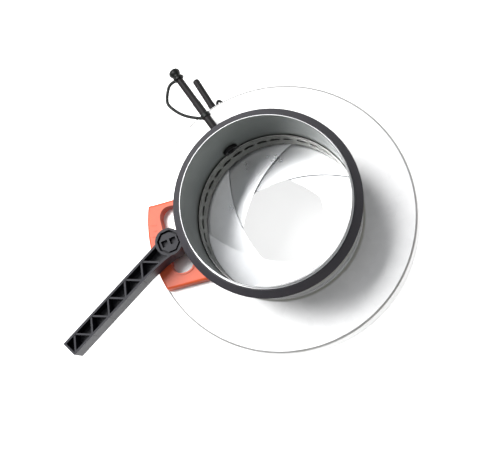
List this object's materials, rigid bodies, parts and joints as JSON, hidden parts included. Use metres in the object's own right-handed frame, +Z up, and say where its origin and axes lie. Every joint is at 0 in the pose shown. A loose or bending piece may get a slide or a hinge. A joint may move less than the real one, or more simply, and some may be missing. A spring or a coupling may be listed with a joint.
{
  "type": "iris volume control damper",
  "caption": "Round duct damper with spigots and lip seals; a lever turns a ring that closes an iris of blades, with measuring taps",
  "frame": {"origin": "centre of the lower spigot's rim, on the duct axis", "axes": "+Z up the duct axis from the lower spigot to the upper one, on whose side the lever and the scale plate are; +X and +Y level, with the lever's hub on the -X side"},
  "size_m": [0.2138, 0.1871, 0.144],
  "materials": {
    "galvanised_sheet": "satin zinc coat",
    "spigot_steel": "satin zinc coat",
    "collar_steel": "satin zinc coat",
    "blade_steel": "satin zinc coat",
    "zinc_steel": "bright zinc",
    "spring_steel": "dark spring steel",
    "seal_rubber": "matt EPDM rubber",
    "grommet_rubber": "matt rubber",
    "black_plastic": "matt",
    "lever_plastic": "fine moulded texture",
    "tap_plastic": "matt tube",
    "cap_plastic": "soft moulded",
    "orange_plastic": "semi-gloss moulded"
  },
  "bodies": {
    "housing": {"upper_shell": "galvanised_sheet", "lower_shell": "galvanised_sheet", "upper_spigot": "spigot_steel", "lower_spigot": "spigot_steel", "upper_gasket": "seal_rubber", "lower_gasket": "seal_rubber", "slotted_collar": "collar_steel", "lower_collar": "collar_steel", "carrier_ring": "galvanised_sheet", "ring_clips": "spring_steel", "shaft_bush": "black_plastic", "scale_plate": "orange_plastic", "plate_screws": "zinc_steel", "upper_tap_tube": "tap_plastic", "lower_tap_tube": "tap_plastic", "upper_grommet": "grommet_rubber", "lower_grommet": "grommet_rubber", "lower_tap_tether": "cap_plastic"},
    "lever_body": {"lever": "lever_plastic", "lever_shaft": "zinc_steel", "crank": "zinc_steel", "shaft_clip": "spring_steel"},
    "ring_body": {"control_ring": "galvanised_sheet"},
    "cap_body": {"upper_tap_cap": "cap_plastic"},
    "blade_1_body": {"blade_1": "blade_steel", "blade_1_pins": "zinc_steel"},
    "blade_2_body": {"blade_2": "blade_steel", "blade_2_pins": "zinc_steel"},
    "blade_3_body": {"blade_3": "blade_steel", "blade_3_pins": "zinc_steel"},
    "blade_4_body": {"blade_4": "blade_steel", "blade_4_pins": "zinc_steel"},
    "blade_5_body": {"blade_5": "blade_steel", "blade_5_pins": "zinc_steel"},
    "blade_6_body": {"blade_6": "blade_steel", "blade_6_pins": "zinc_steel"},
    "blade_7_body": {"blade_7": "blade_steel", "blade_7_pins": "zinc_steel"}
  },
  "joints": [
    {"name": "lever_turn", "type": "hinge", "parent": "housing", "child": "lever_body", "pos_m": [-0.06419, -0.01306, 0.1], "axis": [0, 0, 1], "range_deg": [-20, 52]},
    {"name": "ring_turn", "type": "hinge", "parent": "housing", "child": "ring_body", "pos_m": [0, 0, 0.0744], "axis": [0, 0, 1], "range_deg": [-7.8, 3]},
    {"name": "cap_pull", "type": "slide", "parent": "housing", "child": "cap_body", "axis": [-0.5255, 0.8508, 0], "range_m": [0, 0.01]},
    {"name": "blade_1_swing", "type": "hinge", "parent": "housing", "child": "blade_1_body", "pos_m": [0.07457, 0.01708, 0.0723], "axis": [0, 0, 1], "range_deg": [-19.5, 7.5]},
    {"name": "blade_2_swing", "type": "hinge", "parent": "housing", "child": "blade_2_body", "pos_m": [0.03314, 0.06895, 0.0723], "axis": [0, 0, 1], "range_deg": [-19.5, 7.5]},
    {"name": "blade_3_swing", "type": "hinge", "parent": "housing", "child": "blade_3_body", "pos_m": [-0.03324, 0.0689, 0.0723], "axis": [0, 0, 1], "range_deg": [-19.5, 7.5]},
    {"name": "blade_4_swing", "type": "hinge", "parent": "housing", "child": "blade_4_body", "pos_m": [-0.07459, 0.01697, 0.0723], "axis": [0, 0, 1], "range_deg": [-19.5, 7.5]},
    {"name": "blade_5_swing", "type": "hinge", "parent": "housing", "child": "blade_5_body", "pos_m": [-0.05977, -0.04774, 0.0723], "axis": [0, 0, 1], "range_deg": [-19.5, 7.5]},
    {"name": "blade_6_swing", "type": "hinge", "parent": "housing", "child": "blade_6_body", "pos_m": [0.00006, -0.0765, 0.0723], "axis": [0, 0, 1], "range_deg": [-19.5, 7.5]},
    {"name": "blade_7_swing", "type": "hinge", "parent": "housing", "child": "blade_7_body", "pos_m": [0.05985, -0.04765, 0.0723], "axis": [0, 0, 1], "range_deg": [-19.5, 7.5]}
  ],
  "couplings": [
    {"joint": "ring_turn", "follows": "lever_turn", "ratio": -0.15},
    {"joint": "blade_1_swing", "follows": "lever_turn", "ratio": -0.375},
    {"joint": "blade_2_swing", "follows": "lever_turn", "ratio": -0.375},
    {"joint": "blade_3_swing", "follows": "lever_turn", "ratio": -0.375},
    {"joint": "blade_4_swing", "follows": "lever_turn", "ratio": -0.375},
    {"joint": "blade_5_swing", "follows": "lever_turn", "ratio": -0.375},
    {"joint": "blade_6_swing", "follows": "lever_turn", "ratio": -0.375},
    {"joint": "blade_7_swing", "follows": "lever_turn", "ratio": -0.375}
  ]
}
